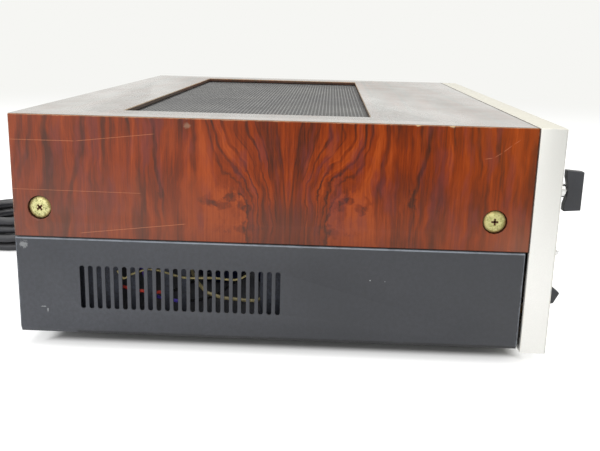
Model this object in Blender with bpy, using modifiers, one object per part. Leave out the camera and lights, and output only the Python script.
"""Integrated amplifier: a veneered wooden sleeve with a recessed ventilation grille, a slotted steel
lower case, a deep aluminium front panel with turning knobs and lever switches, and the power supply,
heat sinks and boards inside. Lengths are metres, +Z is up, the front faces -Y, the floor is Z = 0."""

import math

import bmesh
import bpy
from mathutils import Matrix, Vector

# Outer form of the case
CASE_WIDTH = 0.420
CASE_DEPTH = 0.3075
PANEL_HEIGHT = 0.1372
PANEL_DEPTH = 0.0157
FLOOR_CLEARANCE = 0.008

# Shared gaps and overruns
SEAT_GAP = 0.0003
CUT_OVERRUN = 0.002
WELD_DISTANCE = 0.000001
AXIS_MERGE = 0.00001

# Wooden sleeve and its grille
WOOD_BOARD = 0.012
WOOD_RAISE = 0.0634
OPENING_SIDE_MARGIN = 0.034
OPENING_FRONT_MARGIN = 0.095
OPENING_REAR_MARGIN = 0.0595
LEDGE_DEPTH = 0.0031
LEDGE_WIDTH = 0.006
GRILLE_SHEET = 0.001
GRILLE_FLANGE = 0.005
GRILLE_PLAY = 0.0004
GRILLE_RIM = 0.002
GRILLE_PITCH = 0.0025
GRILLE_RIB = 0.001
GRILLE_CROSS_RIB = 0.003
GRILLE_COLUMNS = 2

# Cabinet screws
SCREW_HEAD_RADIUS = 0.0066
SCREW_HEAD_HEIGHT = 0.0022
SCREW_RIM_HEIGHT = 0.0009
SCREW_SHANK_RADIUS = 0.0022
SCREW_BITE = 0.004
SCREW_RECESS_LENGTH = 0.0038
SCREW_RECESS_WIDTH = 0.0011
SCREW_RECESS_DEPTH = 0.0012
COUNTERBORE_RADIUS = 0.0072
COUNTERBORE_DEPTH = 0.0027
SCREW_RISE = 0.0180
SCREW_FRONT_INSET = 0.0213
SCREW_REAR_INSET = 0.0159

# Lower case
COVER_SHEET = 0.0012
COVER_INSET = 0.0005
COVER_RAISE = 0.0029
COVER_WOOD_GAP = 0.0009
COVER_SETBACK = 0.0018
COVER_BEND = 0.003
COVER_FLANGE = 0.009
BEND_STEPS = 3
VENT_COUNT = 24
VENT_PITCH = 0.0052
VENT_WIDTH = 0.0023
VENT_HEIGHT = 0.0277
VENT_RAISE = 0.0184
VENT_REAR_INSET = 0.0398
VENT_ARC_STEPS = 3

# Feet
FOOT_RADIUS = 0.012
FOOT_TAPER = 0.0015
FOOT_CHAMFER = 0.0008
FOOT_RECESS_RADIUS = 0.004
FOOT_RECESS_DEPTH = 0.005
FOOT_SIDE_INSET = 0.045
FOOT_END_INSET = 0.038

# Inner chassis and the plates at its ends
CHASSIS_SHEET = 0.0012
CHASSIS_PLAY = 0.0015
CHASSIS_WALL = 0.091
WINDOW_SHIFT = 0.0034
WINDOW_PLAY = 0.001
WINDOW_GROUPS = ((5, 5), (7, 7), (9, 9), (11, 11), (13, 21))
SUB_PANEL_SETBACK = 0.002
SUB_PANEL_HEIGHT = 0.108
REAR_RECESS = 0.0063
REAR_PLATE_SHEET = 0.0012

# Front panel
PANEL_WALL = 0.003
PANEL_EDGE = 0.0006

# Turning controls
CONTROL_ROW = 0.0956
LEFT_COLUMN = 0.033
RIGHT_COLUMN = 0.044
SHAFT_RADIUS = 0.003
SHAFT_PLAY = 0.00025
PANEL_HOLE_PLAY = 0.001
COLLAR_RADIUS = 0.0043
COLLAR_STEP = 0.0006
COLLAR_NECK = 0.0004
BAR_KNOB_LENGTH = 0.0258
BAR_KNOB_WIDTH = 0.0060
BAR_KNOB_GAP = 0.0109
BAR_KNOB_DEPTH = 0.0106
BAR_KNOB_DRAFT = 0.0008
BAR_KNOB_EDGE = 0.0003
BAR_SHAFT_RADIUS = 0.0018
BAR_ARCH_LENGTH = 0.0170
BAR_ARCH_DEPTH = 0.0014
BAR_ARCH_STEPS = 8
BORE_DEPTH_SHARE = 0.65
ROUND_KNOB_RADIUS = 0.0135
ROUND_KNOB_GAP = 0.0012
ROUND_KNOB_DEPTH = 0.0175
ROUND_KNOB_CROWN = 0.0012
VOLUME_KNOB_RADIUS = 0.0195
VOLUME_KNOB_REACH = 0.0224
RING_KNOB_RADIUS = 0.0235
RING_KNOB_DEPTH = 0.0085
RING_KNOB_WALL = 0.0025
RING_SHAFT_WALL = 0.0012
RING_TAB_WIDTH = 0.005
RING_TAB_REACH = 0.0035
BASS_SHARE = -0.255
TREBLE_SHARE = -0.1
VOLUME_SHARE = 0.15
GROOVE_WIDTH = 0.0012
GROOVE_DEPTH = 0.0008

# Potentiometers behind the sub-panel
POT_RADIUS = 0.0085
POT_LENGTH = 0.011
POT_FLOOR = 0.003
BUSH_RADIUS = 0.0045
BUSH_LENGTH = 0.007
BOARD_SHEET = 0.0016
BOARD_MARGIN = 0.004
UNION_BITE = 0.0004

# Lever switches
LEVER_ROW = 0.0191
LEVER_PIVOT_DEPTH = 0.007
LEVER_TILT = math.radians(28.0)
LEVER_STEM = 0.0034
LEVER_STEM_REACH = 0.0095
LEVER_FLARE_REACH = 0.0145
LEVER_FLARE = 0.0046
LEVER_LOWER_REACH = 0.0173
LEVER_LOWER = 0.0053
LEVER_NOSE_REACH = 0.0235
LEVER_NOSE_DROP = 0.0009
LEVER_UPPER_REACH = 0.0210
LEVER_UPPER = 0.0049
LEVER_WIDTH = 0.006
LEVER_HUB_RADIUS = 0.003
LEVER_HUB_STEPS = 6
LEVER_PIN_RADIUS = 0.0011
LEVER_PIN_LENGTH = 0.0015
LEVER_SLOT_PLAY = 0.0006
LEVER_SHARES = (-0.3, -0.205, -0.11, -0.015)
EAR_SHEET = 0.0016
SWITCH_HEIGHT = 0.015
SWITCH_LENGTH = 0.012

# Power button
BUTTON_ROW = 0.0562
BUTTON_RADIUS = 0.0034
BUTTON_REACH = 0.0118
BUTTON_CROWN = 0.0048
BUTTON_CROWN_SHARES = ((0.35, 0.09), (0.62, 0.33), (0.85, 0.63))
BUTTON_FLANGE = 0.0012
BUTTON_STEM_RADIUS = 0.0016
BUTTON_TRAVEL = 0.003
BUTTON_SWITCH_WIDTH = 0.013
BUTTON_SWITCH_LENGTH = 0.022

# Headphone socket
HEADPHONE_SHARE = 0.14
SOCKET_BORE = 0.0033
SOCKET_NECK = 0.0047
SOCKET_BODY = 0.0078
SOCKET_STEP = 0.0022
SOCKET_LENGTH = 0.034

# Power supply
TRANSFORMER_SHARE = -0.31
TRANSFORMER_FRONT = 0.066
CORE_WIDTH = 0.084
CORE_DEPTH = 0.040
CORE_HEIGHT = 0.070
BELL_WIDTH = 0.062
BELL_DEPTH = 0.068
BELL_HEIGHT = 0.050
BELL_EDGE = 0.006
FLANGE_WIDTH = 0.102
FLANGE_SHEET = 0.003
CAPACITOR_RADIUS = 0.0175
CAPACITOR_HEIGHT = 0.062
CAPACITOR_EDGE = 0.002
CAPACITOR_SHARE = -0.225
CAPACITOR_FRONT = 0.155
CAPACITOR_PITCH = 0.042

# Heat sinks and output transistors
SINK_WIDTH = 0.112
SINK_BASE = 0.005
SINK_FIN = 0.0018
SINK_FIN_LENGTH = 0.028
SINK_FIN_COUNT = 12
SINK_HEIGHT = 0.078
SINK_FRONT = 0.205
SINK_SHARES = (-0.02, 0.29)
CAN_RADIUS = 0.010
CAN_HEIGHT = 0.007
CAN_BASE_RADIUS = 0.0135
CAN_BASE_HEIGHT = 0.0018
CAN_RAISE_SHARE = 0.62

# Amplifier board
MAIN_BOARD_WIDTH = 0.235
MAIN_BOARD_DEPTH = 0.130
MAIN_BOARD_SHARE = 0.135
MAIN_BOARD_FRONT = 0.055
POST_HEIGHT = 0.009
POST_RADIUS = 0.003
POST_INSET = 0.008
PART_CAN_RADIUS = 0.006
PART_CAN_HEIGHT = 0.016
PART_PLACE_SHARES = ((-0.35, 0.2), (-0.18, 0.3), (0.0, 0.2), (0.18, 0.3), (0.35, 0.2), (-0.27, -0.25), (0.27, -0.25))

# Rear sockets, terminals and fittings
REAR_ROW = 0.030
JACK_PLATE_WIDTH = 0.104
JACK_PLATE_HEIGHT = 0.044
JACK_COLUMNS = 5
JACK_ROWS = 2
JACK_PITCH = 0.0185
JACK_RADIUS = 0.0041
JACK_BORE = 0.0016
JACK_LENGTH = 0.0095
JACK_BASE_RADIUS = 0.0055
JACK_BASE_HEIGHT = 0.0018
JACK_SHARE = 0.28
JACK_ROW = 0.078
REAR_SHEET = 0.002
TERMINAL_SHARE = -0.06
TERMINAL_ROW = 0.078
TERMINAL_WIDTH = 0.108
TERMINAL_HEIGHT = 0.026
TERMINAL_DEPTH = 0.016
TERMINAL_BASE = 0.008
TERMINAL_COUNT = 8
TERMINAL_RIB = 0.0018
TERMINAL_SCREW_RADIUS = 0.0036
TERMINAL_SCREW_HEIGHT = 0.0045
FUSE_SHARE = -0.36
FUSE_RADIUS = 0.0075
FUSE_REACH = 0.012
FUSE_NECK = 0.0058
FUSE_INNER = 0.026
FUSE_EDGE = 0.001
OUTLET_SHARE = -0.24
OUTLET_WIDTH = 0.032
OUTLET_HEIGHT = 0.024
OUTLET_RIM = 0.0025
OUTLET_INNER_WIDTH = 0.026
OUTLET_INNER_HEIGHT = 0.019
OUTLET_INNER_DEPTH = 0.016
OUTLET_SLOT_WIDTH = 0.0022
OUTLET_SLOT_HEIGHT = 0.0075
OUTLET_SLOT_PITCH = 0.0127
OUTLET_SLOT_DEPTH = 0.012
GROUND_SHARE = 0.44
GROUND_RADIUS = 0.0055
GROUND_REACH = 0.011
GROUND_NECK = 0.002
GROUND_STEP = 0.003

# Mains cord
CORD_RADIUS = 0.0035
CORD_EXIT_X = 0.108
CORD_EXIT_Z = 0.031
RELIEF_LENGTH = 0.026
RELIEF_RADIUS = 0.0072
RELIEF_TIP_RADIUS = 0.0047
RELIEF_NECK = 0.0055
RELIEF_FLANGE = 0.002
RELIEF_INNER = 0.006
COIL_X = 0.040
COIL_REAR = 0.0975
COIL_MEAN_RADIUS = 0.0385
COIL_PITCH = 0.00755
COIL_LAYERS = 4
COIL_TURNS = 7.22
COIL_START = math.radians(20.0)
COIL_POINTS_PER_TURN = 24
COIL_FLOOR_GAP = 0.0003
COIL_LEAST_GAP = 0.0004
RUN_SPACING = 0.016
RUN_OFFSETS = (
    (0.0, 0.0, 0.0),
    (0.0, 0.010, 0.0),
    (0.0005, 0.021, -0.0025),
    (0.001, 0.036, -0.0135),
    (-0.0015, 0.052, 0.0025),
    (-0.007, 0.067, 0.0),
)
RUN_LEAD_FAR = 0.014
RUN_LEAD_NEAR = 0.007
TAIL_OFFSETS = (
    (0.0, 0.0, 0.0),
    (0.008, 0.0, 0.0),
    (0.020, -0.0004, -0.0018),
    (0.035, -0.002, -0.0085),
    (0.048, -0.005, -0.0165),
    (0.062, -0.010, -0.0218),
)
TAIL_FLOOR_OFFSETS = ((0.075, -0.017), (0.086, -0.025), (0.092, -0.030))
PLUG_LENGTH = 0.030
PLUG_WIDTH = 0.022
PLUG_HEIGHT = 0.0165
PLUG_NECK_LENGTH = 0.010
PLUG_NECK_WIDTH = 0.010
PLUG_EDGE = 0.002
BLADE_LENGTH = 0.017
BLADE_WIDTH = 0.0063
BLADE_THICKNESS = 0.0015
BLADE_PITCH = 0.0127

# Wires of the harness
WIRE_RADIUS = 0.0011
WIRE_SPACING = 0.0105
RED_OFFSETS = (
    (0.0, 0.0, 0.022),
    (0.0, 0.012, 0.020),
    (-0.006, 0.050, 0.012),
    (-0.012, 0.0, 0.008),
    (0.006, 0.0, 0.006),
    (0.0, 0.0, 0.0065),
    (0.0, 0.0, 0.008),
    (0.010, 0.0, 0.010),
    (0.0, -0.008, 0.0),
    (0.0, -0.0003, 0.0),
)
BLUE_OFFSETS = (
    (0.010, 0.0, 0.018),
    (0.010, 0.012, 0.017),
    (0.0, 0.040, 0.006),
    (0.012, 0.0, 0.002),
    (0.0, 0.0, 0.0015),
    (0.0, 0.0, 0.0015),
    (0.012, 0.0, 0.0015),
    (0.016, 0.0, 0.004),
    (-0.006, -0.014, 0.0),
    (-0.006, -0.0003, 0.0),
)
YELLOW_OFFSETS = (
    (-0.008, 0.0, 0.008),
    (-0.009, 0.008, 0.008),
    (0.004, 0.0, 0.0035),
    (0.0, 0.0, 0.0035),
    (0.0, 0.0, 0.0055),
    (0.006, 0.0, 0.011),
    (0.004, 0.0, 0.016),
    (-0.030, 0.0, 0.016),
    (0.006, -0.014, 0.003),
    (0.006, -0.0003, 0.003),
)

SMALL_STEPS = 8
RIVET_STEPS = 12
ROUND_STEPS = 16
KNOB_STEPS = 20
VOLUME_STEPS = 24

# Places worked out from the sizes above
FRONT_REACH = PANEL_DEPTH + VOLUME_KNOB_REACH
REAR_REACH = CASE_DEPTH - REAR_RECESS + TERMINAL_DEPTH
FRONT = (FRONT_REACH - REAR_REACH) / 2
BACK = FRONT + CASE_DEPTH
HALF_WIDTH = CASE_WIDTH / 2
PANEL_LOW = FLOOR_CLEARANCE
TOP = PANEL_LOW + PANEL_HEIGHT
PANEL_FACE = FRONT - PANEL_DEPTH
PANEL_INNER = PANEL_FACE + PANEL_WALL
WOOD_LOW = PANEL_LOW + WOOD_RAISE
COVER_LOW = PANEL_LOW + COVER_RAISE
COVER_HIGH = WOOD_LOW - COVER_WOOD_GAP
COVER_HALF = HALF_WIDTH - COVER_INSET
COVER_FRONT = FRONT + COVER_SETBACK
CHASSIS_HALF = HALF_WIDTH - WOOD_BOARD - CHASSIS_PLAY
CHASSIS_LOW = COVER_LOW + COVER_SHEET + SEAT_GAP
CHASSIS_FLOOR = CHASSIS_LOW + CHASSIS_SHEET
INNER_HALF = CHASSIS_HALF - CHASSIS_SHEET - SEAT_GAP
INNER_LOW = CHASSIS_FLOOR + SEAT_GAP
SUB_FRONT = FRONT + SUB_PANEL_SETBACK
SUB_BACK = SUB_FRONT + CHASSIS_SHEET
REAR_FACE = BACK - REAR_RECESS
REAR_INNER = REAR_FACE - REAR_PLATE_SHEET
OPENING_LEFT = -HALF_WIDTH + OPENING_SIDE_MARGIN
OPENING_RIGHT = HALF_WIDTH - OPENING_SIDE_MARGIN
OPENING_FRONT = FRONT + OPENING_FRONT_MARGIN
OPENING_BACK = BACK - OPENING_REAR_MARGIN
LEDGE_LOW = TOP - LEDGE_DEPTH
CONTROL_Z = PANEL_LOW + CONTROL_ROW
LEVER_Z = PANEL_LOW + LEVER_ROW
BUTTON_Z = PANEL_LOW + BUTTON_ROW
SPEAKER_X = -HALF_WIDTH + LEFT_COLUMN
SELECTOR_X = HALF_WIDTH - RIGHT_COLUMN
BASS_X = CASE_WIDTH * BASS_SHARE
TREBLE_X = CASE_WIDTH * TREBLE_SHARE
VOLUME_X = CASE_WIDTH * VOLUME_SHARE
HEADPHONE_X = CASE_WIDTH * HEADPHONE_SHARE
LEVER_PLACES = {
    "speaker_lever": SPEAKER_X,
    "low_filter_lever": CASE_WIDTH * LEVER_SHARES[0],
    "high_filter_lever": CASE_WIDTH * LEVER_SHARES[1],
    "mode_lever": CASE_WIDTH * LEVER_SHARES[2],
    "tape_lever": CASE_WIDTH * LEVER_SHARES[3],
}
KNOB_PLACES = {
    "speaker": SPEAKER_X,
    "bass": BASS_X,
    "treble": TREBLE_X,
    "volume": VOLUME_X,
    "selector": SELECTOR_X,
}
LEVER_PIVOT_Y = PANEL_FACE + LEVER_PIVOT_DEPTH
EAR_GAP = SEAT_GAP
JACK_X = CASE_WIDTH * JACK_SHARE
JACK_Z = PANEL_LOW + JACK_ROW
TERMINAL_X = CASE_WIDTH * TERMINAL_SHARE
TERMINAL_Z = PANEL_LOW + TERMINAL_ROW
REAR_Z = PANEL_LOW + REAR_ROW
FUSE_X = CASE_WIDTH * FUSE_SHARE
OUTLET_X = CASE_WIDTH * OUTLET_SHARE
GROUND_X = CASE_WIDTH * GROUND_SHARE
TRANSFORMER_X = CASE_WIDTH * TRANSFORMER_SHARE
TRANSFORMER_Y = FRONT + TRANSFORMER_FRONT + BELL_DEPTH / 2
CAPACITOR_X = CASE_WIDTH * CAPACITOR_SHARE
COIL_Y = BACK + COIL_REAR
CORD_LOW = CORD_RADIUS + COIL_FLOOR_GAP
RELIEF_END = REAR_FACE + SEAT_GAP + RELIEF_LENGTH

FACING_FRONT = (math.radians(90.0), 0.0, 0.0)
FACING_REAR = (math.radians(-90.0), 0.0, 0.0)
FACING_LEFT = (0.0, math.radians(-90.0), 0.0)
FACING_RIGHT = (0.0, math.radians(90.0), 0.0)
UPRIGHT = (0.0, 0.0, 0.0)

PARTS = None
CUTTERS = None
MATERIALS = {}


def clear_scene():
    for obj in list(bpy.data.objects):
        bpy.data.objects.remove(obj, do_unlink=True)


def make_collections():
    global PARTS, CUTTERS
    PARTS = bpy.data.collections.new("integrated_amplifier")
    CUTTERS = bpy.data.collections.new("cutters")
    CUTTERS.hide_render = True
    for collection in (PARTS, CUTTERS):
        bpy.context.scene.collection.children.link(collection)


def make_material(name, color, roughness, metallic):
    material = bpy.data.materials.new(name)
    material.use_nodes = True
    shader = material.node_tree.nodes["Principled BSDF"]
    shader.inputs["Base Color"].default_value = (*color, 1.0)
    shader.inputs["Roughness"].default_value = roughness
    shader.inputs["Metallic"].default_value = metallic
    MATERIALS[name] = material


def make_materials():
    make_material("rosewood", (0.30, 0.075, 0.03), 0.25, 0.0)
    make_material("black_steel", (0.05, 0.052, 0.055), 0.5, 0.0)
    make_material("grille_black", (0.04, 0.04, 0.042), 0.45, 0.0)
    make_material("satin_aluminium", (0.82, 0.82, 0.80), 0.35, 1.0)
    make_material("brass", (0.72, 0.62, 0.33), 0.45, 1.0)
    make_material("zinc_steel", (0.55, 0.55, 0.54), 0.45, 1.0)
    make_material("black_plastic", (0.03, 0.032, 0.035), 0.35, 0.0)
    make_material("polished_metal", (0.80, 0.80, 0.80), 0.2, 1.0)
    make_material("rubber", (0.02, 0.02, 0.02), 0.8, 0.0)
    make_material("dark_aluminium", (0.06, 0.06, 0.065), 0.5, 1.0)
    make_material("iron_core", (0.16, 0.15, 0.14), 0.6, 1.0)
    make_material("capacitor_sleeve", (0.05, 0.09, 0.20), 0.4, 0.0)
    make_material("board", (0.35, 0.24, 0.10), 0.6, 0.0)
    make_material("nickel", (0.66, 0.64, 0.60), 0.3, 1.0)
    make_material("brown_phenolic", (0.12, 0.06, 0.03), 0.55, 0.0)
    make_material("wire_red", (0.62, 0.05, 0.03), 0.45, 0.0)
    make_material("wire_blue", (0.05, 0.07, 0.40), 0.45, 0.0)
    make_material("wire_yellow", (0.72, 0.60, 0.22), 0.45, 0.0)
    make_material("cord_black", (0.025, 0.025, 0.028), 0.5, 0.0)


def add_object(name, mesh, material=None):
    """A new object in the parts collection, or among the cutters when it has no material."""
    obj = bpy.data.objects.new(name, mesh)
    if material is None:
        CUTTERS.objects.link(obj)
        obj.hide_render = True
        obj.display_type = "WIRE"
        return obj
    obj.data.materials.append(MATERIALS[material])
    PARTS.objects.link(obj)
    return obj


def mesh_from(bm, name):
    mesh = bpy.data.meshes.new(name)
    bm.to_mesh(mesh)
    bm.free()
    return mesh


def add_box_to(bm, low, high):
    size = [b - a for a, b in zip(low, high)]
    middle = [(a + b) / 2 for a, b in zip(low, high)]
    matrix = Matrix.Translation(middle) @ Matrix.Diagonal((*size, 1.0))
    bmesh.ops.create_cube(bm, size=1.0, matrix=matrix)


def add_cylinder_to(bm, radius, start, end, steps=ROUND_STEPS):
    """A cylinder between two points that lie on one axis line."""
    start, end = Vector(start), Vector(end)
    along = end - start
    turn = Vector((0.0, 0.0, 1.0)).rotation_difference(along).to_matrix().to_4x4()
    matrix = Matrix.Translation((start + end) / 2) @ turn
    bmesh.ops.create_cone(
        bm,
        cap_ends=True,
        segments=steps,
        radius1=radius,
        radius2=radius,
        depth=along.length,
        matrix=matrix,
    )


def box(name, low, high, material=None):
    bm = bmesh.new()
    add_box_to(bm, low, high)
    return add_object(name, mesh_from(bm, name), material)


def boxes(name, corners, material=None):
    bm = bmesh.new()
    for low, high in corners:
        add_box_to(bm, low, high)
    return add_object(name, mesh_from(bm, name), material)


def cylinders(name, rods, material=None, steps=ROUND_STEPS):
    bm = bmesh.new()
    for radius, start, end in rods:
        add_cylinder_to(bm, radius, start, end, steps)
    return add_object(name, mesh_from(bm, name), material)


def smooth(obj):
    obj.data.shade_smooth()
    obj.data.set_sharp_from_angle(angle=math.radians(35.0))


def turned(name, profile, place, facing, material=None, steps=ROUND_STEPS):
    """A profile of (radius, height) points, from top to bottom, turned round its axis."""
    bm = bmesh.new()
    points = [bm.verts.new((radius, 0.0, height)) for radius, height in profile]
    for first, second in zip(points, points[1:]):
        bm.edges.new((first, second))
    obj = add_object(name, mesh_from(bm, name), material)
    screw = obj.modifiers.new("turn", "SCREW")
    screw.steps = steps
    screw.render_steps = steps
    screw.use_merge_vertices = True
    screw.merge_threshold = AXIS_MERGE
    screw.use_smooth_shade = True
    obj.location = place
    obj.rotation_euler = facing
    return obj


def flat_solid(name, outline, start, end, plane, material=None):
    """A flat outline as a filled 2D curve, extruded from start to end across its plane."""
    curve = bpy.data.curves.new(name, "CURVE")
    curve.dimensions = "2D"
    curve.fill_mode = "BOTH"
    curve.extrude = (end - start) / 2
    spline = curve.splines.new("POLY")
    spline.points.add(len(outline) - 1)
    for point, (across, up) in zip(spline.points, outline):
        point.co = (across, up, 0.0, 1.0)
    spline.use_cyclic_u = True
    drawn = bpy.data.objects.new(name + "_outline", curve)
    PARTS.objects.link(drawn)
    middle = (start + end) / 2
    if plane == "XZ":
        drawn.rotation_euler = FACING_FRONT
        drawn.location = (0.0, middle, 0.0)
    elif plane == "YZ":
        drawn.rotation_euler = (math.radians(90.0), 0.0, math.radians(90.0))
        drawn.location = (middle, 0.0, 0.0)
    else:
        drawn.location = (0.0, 0.0, middle)
    bpy.context.view_layer.update()
    graph = bpy.context.evaluated_depsgraph_get()
    mesh = bpy.data.meshes.new_from_object(drawn.evaluated_get(graph))
    mesh.name = name
    place = drawn.matrix_world.copy()
    bpy.data.objects.remove(drawn, do_unlink=True)
    bm = bmesh.new()
    bm.from_mesh(mesh)
    bmesh.ops.remove_doubles(bm, verts=bm.verts, dist=WELD_DISTANCE)
    bmesh.ops.recalc_face_normals(bm, faces=bm.faces)
    bm.to_mesh(mesh)
    bm.free()
    mesh.materials.clear()
    obj = add_object(name, mesh, material)
    obj.matrix_world = place
    return obj


def folded_sheet(name, profile, start, end, sheet, material):
    """A bent section of (x, z) points run along Y, with its wall thickness set inwards."""
    bm = bmesh.new()
    points = [bm.verts.new((x, start, z)) for x, z in profile]
    edges = [bm.edges.new(pair) for pair in zip(points, points[1:])]
    grown = bmesh.ops.extrude_edge_only(bm, edges=edges)
    moved = [item for item in grown["geom"] if isinstance(item, bmesh.types.BMVert)]
    bmesh.ops.translate(bm, vec=(0.0, end - start, 0.0), verts=moved)
    obj = add_object(name, mesh_from(bm, name), material)
    wall = obj.modifiers.new("wall", "SOLIDIFY")
    wall.thickness = sheet
    wall.offset = -1.0
    wall.use_even_offset = True
    return obj


def corner_arc(center_x, center_z, radius, start, end, steps):
    """Points of a bend, from one angle to the other."""
    arc = []
    for step in range(steps + 1):
        angle = start + (end - start) * step / steps
        arc.append((center_x + radius * math.cos(angle), center_z + radius * math.sin(angle)))
    return arc


def cut(obj, cutter):
    boolean = obj.modifiers.new("cut_" + cutter.name, "BOOLEAN")
    boolean.operation = "DIFFERENCE"
    boolean.object = cutter


def join(obj, other):
    boolean = obj.modifiers.new("join_" + other.name, "BOOLEAN")
    boolean.operation = "UNION"
    boolean.object = other


def bevel(obj, width, segments=2, limit=math.radians(40.0)):
    rounding = obj.modifiers.new("edges", "BEVEL")
    rounding.width = width
    rounding.segments = segments
    rounding.limit_method = "ANGLE"
    rounding.angle_limit = limit


def tube(name, points, radius, resolution, material):
    """A round tube along its points, with filled ends."""
    curve = bpy.data.curves.new(name, "CURVE")
    curve.dimensions = "3D"
    curve.bevel_depth = radius
    curve.bevel_resolution = resolution
    curve.use_fill_caps = True
    spline = curve.splines.new("POLY")
    spline.points.add(len(points) - 1)
    for point, place in zip(spline.points, points):
        point.co = (*place, 1.0)
    obj = bpy.data.objects.new(name, curve)
    curve.materials.append(MATERIALS[material])
    PARTS.objects.link(obj)
    return obj


def smooth_route(knots, spacing):
    """Points read at an even spacing from a smooth curve through the knots."""
    knots = [Vector(knot) for knot in knots]
    ends = [knots[0] * 2 - knots[1], *knots, knots[-1] * 2 - knots[-2]]
    fine = []
    for before, first, second, after in zip(ends, ends[1:], ends[2:], ends[3:]):
        for step in range(24):
            t = step / 24
            fine.append(
                (
                    first * 2
                    + (second - before) * t
                    + (before * 2 - first * 5 + second * 4 - after) * t * t
                    + (first * 3 - before - second * 3 + after) * t * t * t
                )
                / 2
            )
    fine.append(knots[-1])
    lengths = [0.0]
    for first, second in zip(fine, fine[1:]):
        lengths.append(lengths[-1] + (second - first).length)
    count = max(2, round(lengths[-1] / spacing))
    route = []
    index = 0
    for step in range(count + 1):
        target = lengths[-1] * step / count
        while index < len(fine) - 2 and lengths[index + 1] < target:
            index += 1
        span = max(lengths[index + 1] - lengths[index], WELD_DISTANCE)
        route.append(fine[index].lerp(fine[index + 1], (target - lengths[index]) / span))
    return route


def make_wooden_sleeve():
    """Two sides and a top whose corners are mitred, with the grille opening and its ledge."""
    inner = HALF_WIDTH - WOOD_BOARD
    for name, side in (("wood_left_side", -1), ("wood_right_side", 1)):
        outline = [
            (side * HALF_WIDTH, WOOD_LOW),
            (side * inner, WOOD_LOW),
            (side * inner, TOP - WOOD_BOARD),
            (side * HALF_WIDTH, TOP),
        ]
        board = flat_solid(name, outline, FRONT, BACK, "XZ", "rosewood")
        cut(board, screw_hole_cutter(name, side))
    gap = SEAT_GAP * math.sqrt(2.0)
    outline = [
        (-HALF_WIDTH + gap, TOP),
        (HALF_WIDTH - gap, TOP),
        (inner - gap, TOP - WOOD_BOARD),
        (-inner + gap, TOP - WOOD_BOARD),
    ]
    top = flat_solid("wood_top", outline, FRONT, BACK, "XZ", "rosewood")
    opening = box(
        "opening_cutter",
        (OPENING_LEFT, OPENING_FRONT, LEDGE_LOW - CUT_OVERRUN),
        (OPENING_RIGHT, OPENING_BACK, TOP + CUT_OVERRUN),
    )
    rebate = box(
        "rebate_cutter",
        (OPENING_LEFT - LEDGE_WIDTH, OPENING_FRONT - LEDGE_WIDTH, TOP - WOOD_BOARD - CUT_OVERRUN),
        (OPENING_RIGHT + LEDGE_WIDTH, OPENING_BACK + LEDGE_WIDTH, LEDGE_LOW),
    )
    cut(top, opening)
    cut(top, rebate)


def screw_places():
    """The name, side and Y of each cabinet screw."""
    rows = (("front", FRONT + SCREW_FRONT_INSET), ("rear", BACK - SCREW_REAR_INSET))
    sides = (("left", -1), ("right", 1))
    return [(f"cabinet_screw_{side}_{row}", sign, y) for side, sign in sides for row, y in rows]


def screw_hole_cutter(name, side):
    """Counterbores and clearance holes of one wooden side."""
    rods = []
    height = WOOD_LOW + SCREW_RISE
    face = side * HALF_WIDTH
    for _, sign, y in screw_places():
        if sign != side:
            continue
        floor = face - side * COUNTERBORE_DEPTH
        out = face + side * CUT_OVERRUN
        inside = face - side * (WOOD_BOARD + CUT_OVERRUN)
        rods.append((COUNTERBORE_RADIUS, (floor, y, height), (out, y, height)))
        rods.append((SCREW_SHANK_RADIUS + SEAT_GAP, (inside, y, height), (floor + side * SEAT_GAP, y, height)))
    counterbores = cylinders(name + "_counterbores", rods[0::2])
    shanks = cylinders(name + "_shank_holes", rods[1::2], steps=SMALL_STEPS)
    join(counterbores, shanks)
    return counterbores


def make_cabinet_screws():
    """Truss heads, domed, in the counterbores, with shanks that reach through the chassis wall."""
    reach = WOOD_BOARD - COUNTERBORE_DEPTH + CHASSIS_PLAY + CHASSIS_SHEET + SCREW_BITE
    dome = SCREW_HEAD_HEIGHT - SCREW_RIM_HEIGHT
    profile = [
        (0.0, SCREW_HEAD_HEIGHT),
        (SCREW_HEAD_RADIUS / 3, SCREW_RIM_HEIGHT + dome * 8 / 9),
        (SCREW_HEAD_RADIUS * 2 / 3, SCREW_RIM_HEIGHT + dome * 5 / 9),
        (SCREW_HEAD_RADIUS, SCREW_RIM_HEIGHT),
        (SCREW_HEAD_RADIUS, SEAT_GAP),
        (SCREW_SHANK_RADIUS, SEAT_GAP),
        (SCREW_SHANK_RADIUS, -reach),
        (0.0, -reach),
    ]
    for name, side, y in screw_places():
        place = (side * (HALF_WIDTH - COUNTERBORE_DEPTH), y, WOOD_LOW + SCREW_RISE)
        facing = FACING_LEFT if side < 0 else FACING_RIGHT
        screw = turned(name, profile, place, facing, "brass")
        surface = side * (HALF_WIDTH - COUNTERBORE_DEPTH + SCREW_HEAD_HEIGHT)
        ends = sorted((surface + side * CUT_OVERRUN, surface - side * SCREW_RECESS_DEPTH))
        long = SCREW_RECESS_LENGTH / 2
        narrow = SCREW_RECESS_WIDTH / 2
        for arm, half_y, half_z in (("level", long, narrow), ("upright", narrow, long)):
            low = (ends[0], place[1] - half_y, place[2] - half_z)
            high = (ends[1], place[1] + half_y, place[2] + half_z)
            cut(screw, box(f"{name}_{arm}_recess_cutter", low, high))


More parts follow.
